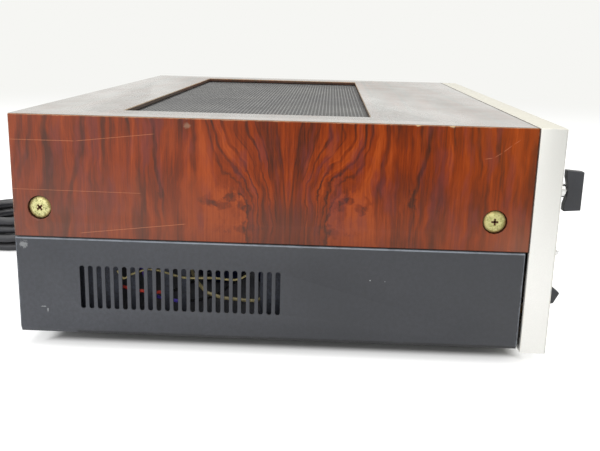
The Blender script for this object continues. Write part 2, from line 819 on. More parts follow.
def make_top_grille():
    """A black pan of sheet under the ledge: fine ribs along X, tied by a few cross ribs."""
    high = LEDGE_LOW - SEAT_GAP
    spread = LEDGE_WIDTH - GRILLE_PLAY
    low_corner = (OPENING_LEFT - spread, OPENING_FRONT - spread, high - GRILLE_FLANGE)
    high_corner = (OPENING_RIGHT + spread, OPENING_BACK + spread, high)
    grille = box("top_grille", low_corner, high_corner, "grille_black")
    hollow = box(
        "grille_hollow_cutter",
        (low_corner[0] + GRILLE_SHEET, low_corner[1] + GRILLE_SHEET, low_corner[2] - CUT_OVERRUN),
        (high_corner[0] - GRILLE_SHEET, high_corner[1] - GRILLE_SHEET, high - GRILLE_SHEET),
    )
    cut(grille, hollow)
    length = OPENING_BACK - OPENING_FRONT - 2 * GRILLE_RIM
    rows = int((length + GRILLE_RIB) / GRILLE_PITCH)
    first = (OPENING_FRONT + OPENING_BACK - rows * GRILLE_PITCH + GRILLE_RIB) / 2
    width = OPENING_RIGHT - OPENING_LEFT - 2 * GRILLE_RIM
    column = (width + GRILLE_CROSS_RIB) / GRILLE_COLUMNS
    slots = []
    for row in range(rows):
        y = first + row * GRILLE_PITCH
        for index in range(GRILLE_COLUMNS):
            x = OPENING_LEFT + GRILLE_RIM + index * column
            slots.append(
                (
                    (x, y, high - GRILLE_SHEET - CUT_OVERRUN),
                    (x + column - GRILLE_CROSS_RIB, y + GRILLE_PITCH - GRILLE_RIB, high + CUT_OVERRUN),
                )
            )
    cut(grille, boxes("grille_slot_cutter", slots))


def u_profile(half, low, high, bend, flange):
    """Outer line of a U section with rounded lower bends, with or without inward top flanges."""
    right_bend = corner_arc(half - bend, low + bend, bend, -math.pi / 2, 0.0, BEND_STEPS)
    right = list(right_bend)
    if flange:
        right += corner_arc(half - bend, high - bend, bend, 0.0, math.pi / 2, BEND_STEPS)
        right.append((half - flange, high))
    else:
        right.append((half, high))
    left = [(-x, z) for x, z in reversed(right)]
    return left + right


def vent_center(index):
    """Y of a vent slot, counted from the rear."""
    return BACK - VENT_REAR_INSET - index * VENT_PITCH


def make_bottom_cover():
    """The black steel lower case, with a row of upright slots in each side."""
    profile = u_profile(COVER_HALF, COVER_LOW, COVER_HIGH, COVER_BEND, COVER_FLANGE)
    cover = folded_sheet("bottom_cover", profile, COVER_FRONT, BACK, COVER_SHEET, "black_steel")
    radius = VENT_WIDTH / 2
    low = PANEL_LOW + VENT_RAISE + radius
    high = PANEL_LOW + VENT_RAISE + VENT_HEIGHT - radius
    reach = COVER_HALF + CUT_OVERRUN
    slots = None
    for index in range(VENT_COUNT):
        y = vent_center(index)
        outline = corner_arc(y, high, radius, 0.0, math.pi, VENT_ARC_STEPS)
        outline += corner_arc(y, low, radius, math.pi, 2 * math.pi, VENT_ARC_STEPS)
        slot = flat_solid(f"vent_cutter_{index:02d}", outline, -reach, reach, "YZ")
        slots = merge_cutters(slots, slot)
    cut(cover, slots)


def merge_cutters(first, second):
    """One cutter that holds both meshes, which don't touch each other."""
    if first is None:
        return second
    bm = bmesh.new()
    bm.from_mesh(first.data)
    extra = second.data.copy()
    extra.transform(first.matrix_world.inverted() @ second.matrix_world)
    bm.from_mesh(extra)
    bm.to_mesh(first.data)
    bm.free()
    bpy.data.objects.remove(second, do_unlink=True)
    return first


def make_chassis():
    """The folded inner chassis that carries everything, with windows behind the vent slots."""
    profile = u_profile(CHASSIS_HALF, CHASSIS_LOW, CHASSIS_LOW + CHASSIS_WALL, COVER_BEND, 0.0)
    chassis = folded_sheet("chassis", profile, COVER_FRONT, REAR_FACE, CHASSIS_SHEET, "zinc_steel")
    reach = CHASSIS_HALF + CUT_OVERRUN
    windows = []
    for first, last in WINDOW_GROUPS:
        front = vent_center(last) + WINDOW_SHIFT - VENT_PITCH / 2 + WINDOW_PLAY / 2
        back = vent_center(first) + WINDOW_SHIFT + VENT_PITCH / 2 - WINDOW_PLAY / 2
        low = PANEL_LOW + VENT_RAISE - VENT_PITCH
        high = PANEL_LOW + VENT_RAISE + VENT_HEIGHT
        windows.append(((-reach, front, low), (reach, back, high)))
    cut(chassis, boxes("window_cutter", windows))
    rods = []
    for _, side, y in screw_places():
        x = side * CHASSIS_HALF
        height = WOOD_LOW + SCREW_RISE
        rods.append(
            (SCREW_SHANK_RADIUS + SEAT_GAP, (x - CUT_OVERRUN, y, height), (x + CUT_OVERRUN, y, height))
        )
    cut(chassis, cylinders("chassis_screw_holes", rods))


def make_feet():
    profile = [
        (0.0, COVER_LOW - SEAT_GAP),
        (FOOT_RADIUS, COVER_LOW - SEAT_GAP),
        (FOOT_RADIUS - FOOT_TAPER, FOOT_CHAMFER),
        (FOOT_RADIUS - FOOT_TAPER - FOOT_CHAMFER, 0.0),
        (FOOT_RECESS_RADIUS, 0.0),
        (FOOT_RECESS_RADIUS, FOOT_RECESS_DEPTH),
        (0.0, FOOT_RECESS_DEPTH),
    ]
    rows = (("front", COVER_FRONT + FOOT_END_INSET), ("rear", BACK - FOOT_END_INSET))
    for row, y in rows:
        for side, sign in (("left", -1), ("right", 1)):
            place = (sign * (HALF_WIDTH - FOOT_SIDE_INSET), y, 0.0)
            turned(f"foot_{row}_{side}", profile, place, UPRIGHT, "rubber")


def lever_slot_half_height():
    """Half the height that a tilted lever sweeps at the panel's face."""
    sweep = LEVER_PIVOT_DEPTH * math.tan(LEVER_TILT)
    return sweep + LEVER_STEM / 2 / math.cos(LEVER_TILT) + LEVER_SLOT_PLAY


def make_front_panel():
    """A deep tray of aluminium: a face wall with returned sides, open at the back."""
    panel = box(
        "front_panel",
        (-HALF_WIDTH, PANEL_FACE, PANEL_LOW),
        (HALF_WIDTH, FRONT - SEAT_GAP, TOP),
        "satin_aluminium",
    )
    bevel(panel, PANEL_EDGE)
    hollow = box(
        "panel_hollow_cutter",
        (-HALF_WIDTH + PANEL_WALL, PANEL_INNER, PANEL_LOW + PANEL_WALL),
        (HALF_WIDTH - PANEL_WALL, FRONT + CUT_OVERRUN, TOP - PANEL_WALL),
    )
    cut(panel, hollow)
    front = PANEL_FACE - CUT_OVERRUN
    back = PANEL_INNER + CUT_OVERRUN
    rods = []
    for name, x in KNOB_PLACES.items():
        radius = ring_shaft_radius() if name == "volume" else SHAFT_RADIUS
        rods.append((radius + PANEL_HOLE_PLAY, (x, front, CONTROL_Z), (x, back, CONTROL_Z)))
    rods.append((BUTTON_RADIUS + SEAT_GAP, (SPEAKER_X, front, BUTTON_Z), (SPEAKER_X, back, BUTTON_Z)))
    rods.append((SOCKET_NECK + SEAT_GAP, (HEADPHONE_X, front, LEVER_Z), (HEADPHONE_X, back, LEVER_Z)))
    cut(panel, cylinders("panel_hole_cutter", rods))
    half = LEVER_WIDTH / 2 + LEVER_SLOT_PLAY
    tall = lever_slot_half_height()
    slots = [((x - half, front, LEVER_Z - tall), (x + half, back, LEVER_Z + tall)) for x in LEVER_PLACES.values()]
    cut(panel, boxes("lever_slot_cutter", slots))


def ring_shaft_radius():
    """Outer radius of the hollow shaft that carries the ring round the volume shaft."""
    return SHAFT_RADIUS + SHAFT_PLAY + RING_SHAFT_WALL


def end_plate(name, front, back, high, material):
    """A plate across the chassis, clipped at its lower corners to clear the bends."""
    outline = [
        (-INNER_HALF + COVER_BEND, INNER_LOW),
        (INNER_HALF - COVER_BEND, INNER_LOW),
        (INNER_HALF, INNER_LOW + COVER_BEND),
        (INNER_HALF, high),
        (-INNER_HALF, high),
        (-INNER_HALF, INNER_LOW + COVER_BEND),
    ]
    return flat_solid(name, outline, front, back, "XZ", material)


def make_sub_panel():
    """The steel plate behind the front panel that carries the controls."""
    plate = end_plate("sub_panel", SUB_FRONT, SUB_BACK, INNER_LOW + SUB_PANEL_HEIGHT, "zinc_steel")
    front = SUB_FRONT - CUT_OVERRUN
    back = SUB_BACK + CUT_OVERRUN
    rods = []
    for x in KNOB_PLACES.values():
        rods.append((BUSH_RADIUS + ring_shaft_radius() - SHAFT_RADIUS, (x, front, CONTROL_Z), (x, back, CONTROL_Z)))
    stem = BUTTON_STEM_RADIUS + PANEL_HOLE_PLAY
    rods.append((stem, (SPEAKER_X, front, BUTTON_Z), (SPEAKER_X, back, BUTTON_Z)))
    rods.append((SOCKET_BODY + SEAT_GAP, (HEADPHONE_X, front, LEVER_Z), (HEADPHONE_X, back, LEVER_Z)))
    cut(plate, cylinders("sub_panel_hole_cutter", rods, steps=RIVET_STEPS))
    half = switch_half_width() + SEAT_GAP
    tall = SWITCH_HEIGHT / 2 + SEAT_GAP
    slots = [((x - half, front, LEVER_Z - tall), (x + half, back, LEVER_Z + tall)) for x in LEVER_PLACES.values()]
    cut(plate, boxes("sub_panel_slot_cutter", slots))


def make_shaft(name, x, tip, shoulder, steps=ROUND_STEPS):
    """A steel shaft with a bright collar and a thin tip in front of the panel; tip and shoulder are reaches."""
    end = SUB_BACK + SEAT_GAP + POT_LENGTH - POT_FLOOR - PANEL_FACE
    profile = [
        (0.0, tip),
        (BAR_SHAFT_RADIUS, tip),
        (BAR_SHAFT_RADIUS, shoulder),
        (SHAFT_RADIUS + COLLAR_NECK, shoulder),
        (COLLAR_RADIUS - COLLAR_STEP / 2, shoulder - COLLAR_STEP * 0.75),
        (COLLAR_RADIUS, shoulder - COLLAR_STEP * 1.5),
        (COLLAR_RADIUS, 2 * SEAT_GAP),
        (SHAFT_RADIUS, 2 * SEAT_GAP),
        (SHAFT_RADIUS, -end + SEAT_GAP),
        (0.0, -end + SEAT_GAP),
    ]
    place = (x, PANEL_FACE, CONTROL_Z)
    return turned(name, profile, place, FACING_FRONT, "polished_metal", steps)


def make_bar_knob(name, x):
    """An upright bar whose back is arched over the bright collar of its shaft."""
    half = BAR_KNOB_LENGTH / 2
    front_half = half - BAR_KNOB_DRAFT
    back = -BAR_KNOB_GAP
    face = -BAR_KNOB_GAP - BAR_KNOB_DEPTH
    reach = BAR_ARCH_LENGTH / 2
    radius = (reach**2 + BAR_ARCH_DEPTH**2) / (2 * BAR_ARCH_DEPTH)
    spread = math.asin(reach / radius)
    outline = [(face, -front_half), (back, -half)]
    for step in range(BAR_ARCH_STEPS + 1):
        angle = -spread + 2 * spread * step / BAR_ARCH_STEPS
        outline.append((back + radius * math.cos(spread) - radius * math.cos(angle), radius * math.sin(angle)))
    outline += [(back, half), (face, front_half)]
    knob = flat_solid(name, outline, -BAR_KNOB_WIDTH / 2, BAR_KNOB_WIDTH / 2, "YZ", "black_plastic")
    place = Vector((x, PANEL_FACE, CONTROL_Z))
    knob.location = knob.location + place
    bevel(knob, BAR_KNOB_EDGE, 1, math.radians(60.0))
    depth = BAR_KNOB_DEPTH * BORE_DEPTH_SHARE
    start = (x, PANEL_FACE - BAR_KNOB_GAP + CUT_OVERRUN, CONTROL_Z)
    end = (x, PANEL_FACE - BAR_KNOB_GAP - depth, CONTROL_Z)
    cut(knob, cylinders(name + "_bore_cutter", [(BAR_SHAFT_RADIUS + SHAFT_PLAY, start, end)]))
    tip = BAR_KNOB_GAP + depth - SEAT_GAP
    make_shaft(name.replace("_knob", "_shaft"), x, tip, BAR_KNOB_GAP + BAR_ARCH_DEPTH - 3 * SEAT_GAP)


def round_knob_profile(radius, back, face, bore_depth):
    """A skirt, a slightly tapered grip and a shallow crown, bored from behind."""
    grip = radius * GRIP_SHARE
    skirt = (face - back) * SKIRT_SHARE
    bore = SHAFT_RADIUS + SHAFT_PLAY
    return [
        (0.0, face - ROUND_KNOB_CROWN / 2),
        (grip - ROUND_KNOB_CROWN * 2, face - ROUND_KNOB_CROWN / 2),
        (grip - ROUND_KNOB_CROWN, face),
        (grip, face - ROUND_KNOB_CROWN),
        (grip * TAPER_SHARE, back + skirt),
        (radius, back + skirt - ROUND_KNOB_CROWN),
        (radius, back),
        (bore, back),
        (bore, back + bore_depth),
        (0.0, back + bore_depth),
    ]


GRIP_SHARE = 0.86
SKIRT_SHARE = 0.28
TAPER_SHARE = 1.03


def make_round_knob(name, x, radius, back, face, steps):
    """A round knob with a pointer groove cut in its face."""
    bore_depth = (face - back) * BORE_DEPTH_SHARE
    profile = round_knob_profile(radius, back, face, bore_depth)
    knob = turned(name, profile, (x, PANEL_FACE, CONTROL_Z), FACING_FRONT, "black_plastic", steps)
    half = GROOVE_WIDTH / 2
    front = PANEL_FACE - face
    groove = box(
        name + "_groove_cutter",
        (x - half, front - CUT_OVERRUN, CONTROL_Z + radius / 2),
        (x + half, front + GROOVE_DEPTH + ROUND_KNOB_CROWN / 2, CONTROL_Z + radius + CUT_OVERRUN),
    )
    cut(knob, groove)
    return back + bore_depth - SEAT_GAP


def make_tone_knob(name, x):
    tip = make_round_knob(name, x, ROUND_KNOB_RADIUS, ROUND_KNOB_GAP, ROUND_KNOB_GAP + ROUND_KNOB_DEPTH, KNOB_STEPS)
    make_plain_shaft(name.replace("_knob", "_shaft"), x, tip)


def make_plain_shaft(name, x, tip):
    """A steel shaft without a collar, from inside its knob to inside its potentiometer."""
    end = SUB_BACK + SEAT_GAP + POT_LENGTH - POT_FLOOR - PANEL_FACE
    profile = [
        (0.0, tip),
        (SHAFT_RADIUS, tip),
        (SHAFT_RADIUS, -end + SEAT_GAP),
        (0.0, -end + SEAT_GAP),
    ]
    turned(name, profile, (x, PANEL_FACE, CONTROL_Z), FACING_FRONT, "polished_metal")


def make_volume_controls():
    """The volume knob, and behind it the balance ring on its own hollow shaft."""
    ring_back = 2 * SEAT_GAP
    ring_face = ring_back + RING_KNOB_DEPTH
    knob_back = ring_face - RING_KNOB_WALL + SEAT_GAP
    name = "volume_knob"
    tip = make_round_knob(name, VOLUME_X, VOLUME_KNOB_RADIUS, knob_back, VOLUME_KNOB_REACH, VOLUME_STEPS)
    make_plain_shaft("volume_shaft", VOLUME_X, tip)
    bore = SHAFT_RADIUS + SHAFT_PLAY
    tube_end = SUB_FRONT - PANEL_FACE - PANEL_HOLE_PLAY
    cup = VOLUME_KNOB_RADIUS + SEAT_GAP * 2
    floor = ring_face - RING_KNOB_WALL
    profile = [
        (cup, ring_face),
        (RING_KNOB_RADIUS - ROUND_KNOB_CROWN, ring_face),
        (RING_KNOB_RADIUS, ring_face - ROUND_KNOB_CROWN),
        (RING_KNOB_RADIUS, ring_back),
        (ring_shaft_radius(), ring_back),
        (ring_shaft_radius(), -tube_end),
        (bore, -tube_end),
        (bore, floor),
        (cup, floor),
        (cup, ring_face),
    ]
    ring = turned("balance_ring", profile, (VOLUME_X, PANEL_FACE, CONTROL_Z), FACING_FRONT, "black_plastic", VOLUME_STEPS)
    half = RING_TAB_WIDTH / 2
    tab = box(
        "balance_tab",
        (VOLUME_X - half, PANEL_FACE - ring_face + ROUND_KNOB_CROWN, CONTROL_Z + RING_KNOB_RADIUS - RING_KNOB_WALL / 2),
        (VOLUME_X + half, PANEL_FACE - 2 * ring_back, CONTROL_Z + RING_KNOB_RADIUS + RING_TAB_REACH),
    )
    join(ring, tab)


def make_control_board():
    """Potentiometers and rotary switches, soldered to the strip of board behind them."""
    back = SUB_BACK + SEAT_GAP
    board_back = back + POT_LENGTH + BOARD_SHEET
    left = min(KNOB_PLACES.values()) - POT_RADIUS - BOARD_MARGIN
    right = max(KNOB_PLACES.values()) + POT_RADIUS + BOARD_MARGIN
    tall = POT_RADIUS + BOARD_MARGIN
    board = box(
        "control_board",
        (left, back + POT_LENGTH, CONTROL_Z - tall),
        (right, board_back, CONTROL_Z + tall),
        "board",
    )
    cans = []
    bushes = []
    bores = []
    for name, x in KNOB_PLACES.items():
        bush_front = SUB_FRONT - PANEL_HOLE_PLAY / 2 if name == "volume" else back - BUSH_LENGTH
        cans.append((POT_RADIUS, (x, back, CONTROL_Z), (x, back + POT_LENGTH + UNION_BITE, CONTROL_Z)))
        bushes.append((BUSH_RADIUS, (x, bush_front, CONTROL_Z), (x, back + UNION_BITE, CONTROL_Z)))
        bore_end = back + POT_LENGTH - POT_FLOOR
        bores.append((SHAFT_RADIUS + SHAFT_PLAY, (x, bush_front - CUT_OVERRUN, CONTROL_Z), (x, bore_end, CONTROL_Z)))
    join(board, cylinders("pot_can_shapes", cans))
    join(board, cylinders("pot_bush_shapes", bushes, steps=RIVET_STEPS))
    cut(board, cylinders("pot_bore_cutter", bores, steps=RIVET_STEPS))


def switch_half_width():
    return LEVER_WIDTH / 2 + EAR_GAP + EAR_SHEET


def make_lever(name, x):
    """A flared paddle with its hub and pivot pins, tilted up as it stands in the photograph."""
    half = LEVER_STEM / 2
    outline = [
        (-LEVER_STEM_REACH, half),
        (-LEVER_FLARE_REACH, LEVER_FLARE),
        (-LEVER_UPPER_REACH, LEVER_UPPER),
        (-LEVER_NOSE_REACH, -LEVER_NOSE_DROP),
        (-LEVER_LOWER_REACH, -LEVER_LOWER),
        (-LEVER_FLARE_REACH, -LEVER_FLARE),
        (-LEVER_STEM_REACH, -half),
    ]
    meet = math.asin(half / LEVER_HUB_RADIUS)
    for step in range(LEVER_HUB_STEPS + 1):
        angle = -math.pi + meet + (2 * math.pi - 2 * meet) * step / LEVER_HUB_STEPS
        outline.append((LEVER_HUB_RADIUS * math.cos(angle), LEVER_HUB_RADIUS * math.sin(angle)))
    lever = flat_solid(name, outline, -LEVER_WIDTH / 2, LEVER_WIDTH / 2, "YZ", "black_plastic")
    place = Matrix.Translation((x, LEVER_PIVOT_Y, LEVER_Z))
    lever.matrix_world = place @ Matrix.Rotation(-LEVER_TILT, 4, "X") @ lever.matrix_world
    pin = LEVER_WIDTH / 2 + EAR_GAP + LEVER_PIN_LENGTH
    ends = ((x - pin, LEVER_PIVOT_Y, LEVER_Z), (x + pin, LEVER_PIVOT_Y, LEVER_Z))
    join(lever, cylinders(name + "_pin_shape", [(LEVER_PIN_RADIUS, *ends)], steps=SMALL_STEPS))


def make_switch_board():
    """Lever switch frames, each with two ears that hold the pins, on their strip of board."""
    body_front = LEVER_PIVOT_Y + LEVER_HUB_RADIUS + 2 * SEAT_GAP
    body_back = SUB_BACK + SWITCH_LENGTH
    half = switch_half_width()
    tall = SWITCH_HEIGHT / 2
    ear_tall = LEVER_HUB_RADIUS
    ear_front = LEVER_PIVOT_Y - LEVER_PIN_RADIUS * 2
    left = min(LEVER_PLACES.values()) - half - BOARD_MARGIN / 2
    right = max(LEVER_PLACES.values()) + half + BOARD_MARGIN
    board = box(
        "switch_board",
        (left, body_back, LEVER_Z - tall),
        (right, body_back + BOARD_SHEET, LEVER_Z + tall),
        "board",
    )
    frames = []
    ears = []
    holes = []
    for x in LEVER_PLACES.values():
        frames.append(((x - half, body_front, LEVER_Z - tall + UNION_BITE), (x + half, body_back + UNION_BITE, LEVER_Z + tall - UNION_BITE)))
        for side in (-1, 1):
            near = x + side * (LEVER_WIDTH / 2 + EAR_GAP)
            far = x + side * half
            ears.append(
                (
                    (min(near, far), ear_front, LEVER_Z - ear_tall),
                    (max(near, far), body_front + UNION_BITE, LEVER_Z + ear_tall),
                )
            )
        pin = half + CUT_OVERRUN
        ends = ((x - pin, LEVER_PIVOT_Y, LEVER_Z), (x + pin, LEVER_PIVOT_Y, LEVER_Z))
        holes.append((LEVER_PIN_RADIUS + SHAFT_PLAY, *ends))
    join(board, boxes("switch_frame_shapes", frames))
    join(board, boxes("switch_ear_shapes", ears))
    cut(board, cylinders("switch_pin_cutter", holes, steps=SMALL_STEPS))


def make_power_button():
    """A domed push button with a retaining flange and a stem into its switch."""
    flange_front = -(PANEL_WALL + SEAT_GAP)
    stem_end = -(SUB_BACK - PANEL_FACE + SEAT_GAP + BUTTON_TRAVEL)
    profile = [
        (0.0, BUTTON_REACH),
        *((BUTTON_RADIUS * out, BUTTON_REACH - BUTTON_CROWN * down) for out, down in BUTTON_CROWN_SHARES),
        (BUTTON_RADIUS, BUTTON_REACH - BUTTON_CROWN),
        (BUTTON_RADIUS, flange_front),
        (BUTTON_RADIUS + BUTTON_FLANGE, flange_front),
        (BUTTON_RADIUS + BUTTON_FLANGE, flange_front - BUTTON_FLANGE),
        (BUTTON_STEM_RADIUS, flange_front - BUTTON_FLANGE),
        (BUTTON_STEM_RADIUS, stem_end),
        (0.0, stem_end),
    ]
    place = (SPEAKER_X, PANEL_FACE, BUTTON_Z)
    turned("power_button", profile, place, FACING_FRONT, "polished_metal")
    half = BUTTON_SWITCH_WIDTH / 2
    front = SUB_BACK + SEAT_GAP
    switch = box(
        "power_switch",
        (SPEAKER_X - half, front, BUTTON_Z - half),
        (SPEAKER_X + half, front + BUTTON_SWITCH_LENGTH, BUTTON_Z + half),
        "black_plastic",
    )
    start = (SPEAKER_X, front - CUT_OVERRUN, BUTTON_Z)
    end = (SPEAKER_X, front + 3 * BUTTON_TRAVEL, BUTTON_Z)
    cut(switch, cylinders("power_switch_cutter", [(BUTTON_STEM_RADIUS + SHAFT_PLAY, start, end)]))


def make_headphone_socket():
    """A long socket body whose threaded neck comes through the panel."""
    step = -(PANEL_WALL + SEAT_GAP)
    floor = SOCKET_STEP - SOCKET_LENGTH + PANEL_WALL
    profile = [
        (SOCKET_BORE, SOCKET_STEP),
        (SOCKET_NECK, SOCKET_STEP),
        (SOCKET_NECK, step),
        (SOCKET_BODY, step),
        (SOCKET_BODY, SOCKET_STEP - SOCKET_LENGTH),
        (0.0, SOCKET_STEP - SOCKET_LENGTH),
    ]
    place = (HEADPHONE_X, PANEL_FACE, LEVER_Z)
    profile = [(0.0, floor), (SOCKET_BORE, floor)] + profile
    turned("headphone_socket", profile, place, FACING_FRONT, "black_plastic", KNOB_STEPS)


def make_transformer():
    """A laminated core between rounded winding covers, on a bolted flange."""
    half = CORE_WIDTH / 2
    low = INNER_LOW
    core = box(
        "power_transformer",
        (TRANSFORMER_X - half, TRANSFORMER_Y - CORE_DEPTH / 2, low),
        (TRANSFORMER_X + half, TRANSFORMER_Y + CORE_DEPTH / 2, low + CORE_HEIGHT),
        "iron_core",
    )
    middle = low + CORE_HEIGHT / 2
    half = BELL_WIDTH / 2
    bell = box(
        "bell_shape",
        (TRANSFORMER_X - half, TRANSFORMER_Y - BELL_DEPTH / 2, middle - BELL_HEIGHT / 2),
        (TRANSFORMER_X + half, TRANSFORMER_Y + BELL_DEPTH / 2, middle + BELL_HEIGHT / 2),
    )
    bevel(bell, BELL_EDGE)
    half = FLANGE_WIDTH / 2
    inset = CORE_DEPTH / 2 - PANEL_WALL
    flange = box(
        "flange_shape",
        (TRANSFORMER_X - half, TRANSFORMER_Y - inset, low + SEAT_GAP),
        (TRANSFORMER_X + half, TRANSFORMER_Y + inset, low + SEAT_GAP + FLANGE_SHEET),
    )
    join(core, bell)
    join(core, flange)


def make_filter_capacitors():
    edge = CAPACITOR_EDGE
    profile = [
        (0.0, CAPACITOR_HEIGHT - edge / 2),
        (CAPACITOR_RADIUS - 2 * edge, CAPACITOR_HEIGHT - edge / 2),
        (CAPACITOR_RADIUS - 2 * edge, CAPACITOR_HEIGHT),
        (CAPACITOR_RADIUS - edge / 2, CAPACITOR_HEIGHT),
        (CAPACITOR_RADIUS, CAPACITOR_HEIGHT - edge / 2),
        (CAPACITOR_RADIUS, edge),
        (CAPACITOR_RADIUS - edge / 2, 0.0),
        (0.0, 0.0),
    ]
    for index in range(2):
        y = FRONT + CAPACITOR_FRONT + index * CAPACITOR_PITCH
        place = (CAPACITOR_X, y, INNER_LOW)
        turned(f"filter_capacitor_{index + 1}", profile, place, UPRIGHT, "capacitor_sleeve")


def make_heat_sinks():
    """Extruded combs of upright fins under the grille, each with one output transistor."""
    half = SINK_WIDTH / 2
    base_front = FRONT + SINK_FRONT + SINK_FIN_LENGTH
    step = (SINK_WIDTH - SINK_FIN) / (SINK_FIN_COUNT - 1)
    for index, share in enumerate(SINK_SHARES):
        x = CASE_WIDTH * share
        outline = [(x + half, base_front + SINK_BASE), (x - half, base_front + SINK_BASE)]
        for fin in range(SINK_FIN_COUNT):
            left = x - half + fin * step
            right = left + SINK_FIN
            tip = base_front - SINK_FIN_LENGTH
            if fin:
                outline.append((left, base_front))
            outline += [(left, tip), (right, tip)]
            if fin < SINK_FIN_COUNT - 1:
                outline.append((right, base_front))
        high = INNER_LOW + SINK_HEIGHT
        flat_solid(f"heat_sink_{index + 1}", outline, INNER_LOW, high, "XY", "dark_aluminium")
        profile = [
            (0.0, CAN_HEIGHT),
            (CAN_RADIUS - CAN_BASE_HEIGHT / 2, CAN_HEIGHT),
            (CAN_RADIUS, CAN_HEIGHT - CAN_BASE_HEIGHT / 2),
            (CAN_RADIUS, CAN_BASE_HEIGHT),
            (CAN_BASE_RADIUS, CAN_BASE_HEIGHT),
            (CAN_BASE_RADIUS, 0.0),
            (0.0, 0.0),
        ]
        place = (x, base_front + SINK_BASE + SEAT_GAP, INNER_LOW + SINK_HEIGHT * CAN_RAISE_SHARE)
        turned(f"output_transistor_{index + 1}", profile, place, FACING_REAR, "nickel")


def make_amplifier_board():
    """The main board on four posts, with its taller parts standing on it."""
    x = CASE_WIDTH * MAIN_BOARD_SHARE
    front = FRONT + MAIN_BOARD_FRONT
    half = MAIN_BOARD_WIDTH / 2
    low = INNER_LOW + POST_HEIGHT
    board = box(
        "amplifier_board",
        (x - half, front, low),
        (x + half, front + MAIN_BOARD_DEPTH, low + BOARD_SHEET),
        "board",
    )
    rods = []
    for px in (x - half + POST_INSET, x + half - POST_INSET):
        for py in (front + POST_INSET, front + MAIN_BOARD_DEPTH - POST_INSET):
            rods.append((POST_RADIUS, (px, py, INNER_LOW), (px, py, low + UNION_BITE)))
    for across, along in PART_PLACE_SHARES:
        px = x + across * MAIN_BOARD_WIDTH
        py = front + MAIN_BOARD_DEPTH / 2 + along * MAIN_BOARD_DEPTH
        high = low + BOARD_SHEET
        rods.append((PART_CAN_RADIUS, (px, py, high - UNION_BITE), (px, py, high + PART_CAN_HEIGHT)))
    join(board, cylinders("board_part_shapes", rods, steps=RIVET_STEPS))


def jack_places():
    """Centres of the phono sockets, in rows and columns on their plate."""
    places = []
    for row in range(JACK_ROWS):
        for column in range(JACK_COLUMNS):
            x = JACK_X + (column - (JACK_COLUMNS - 1) / 2) * JACK_PITCH
            z = JACK_Z + (row - (JACK_ROWS - 1) / 2) * JACK_PITCH
            places.append((x, z))
    return places


def make_rear_panel():
    """The rear plate, with a hole for each fitting that passes through it."""
    plate = end_plate("rear_panel", REAR_INNER, REAR_FACE, TOP - WOOD_BOARD - SEAT_GAP, "black_steel")
    front = REAR_INNER - CUT_OVERRUN
    back = REAR_FACE + CUT_OVERRUN
    rods = [
        (FUSE_NECK + SEAT_GAP, (FUSE_X, front, REAR_Z), (FUSE_X, back, REAR_Z)),
        (GROUND_NECK + SEAT_GAP, (GROUND_X, front, JACK_Z), (GROUND_X, back, JACK_Z)),
        (RELIEF_NECK + SEAT_GAP, (CORD_EXIT_X, front, CORD_EXIT_Z), (CORD_EXIT_X, back, CORD_EXIT_Z)),
    ]
    cut(plate, cylinders("rear_hole_cutter", rods))
    half = OUTLET_INNER_WIDTH / 2 + SEAT_GAP
    tall = OUTLET_INNER_HEIGHT / 2 + SEAT_GAP
    cut(
        plate,
        box("outlet_cutter", (OUTLET_X - half, front, REAR_Z - tall), (OUTLET_X + half, back, REAR_Z + tall)),
    )


def make_input_jacks():
    """A phenolic plate with rows of phono sockets."""
    low = REAR_FACE + SEAT_GAP
    plate = box(
        "input_jacks",
        (JACK_X - JACK_PLATE_WIDTH / 2, low, JACK_Z - JACK_PLATE_HEIGHT / 2),
        (JACK_X + JACK_PLATE_WIDTH / 2, low + REAR_SHEET, JACK_Z + JACK_PLATE_HEIGHT / 2),
        "brown_phenolic",
    )
    face = low + REAR_SHEET
    bases = []
    sleeves = []
    bores = []
    for x, z in jack_places():
        shoulder = face + JACK_BASE_HEIGHT
        end = face + JACK_LENGTH
        bases.append((JACK_BASE_RADIUS, (x, face - UNION_BITE, z), (x, shoulder, z)))
        sleeves.append((JACK_RADIUS, (x, shoulder - UNION_BITE, z), (x, end, z)))
        bores.append((JACK_BORE, (x, shoulder, z), (x, end + CUT_OVERRUN, z)))
    join(plate, cylinders("jack_base_shapes", bases, steps=SMALL_STEPS))
    join(plate, cylinders("jack_sleeve_shapes", sleeves, steps=SMALL_STEPS))
    cut(plate, cylinders("jack_bore_cutter", bores, steps=SMALL_STEPS))


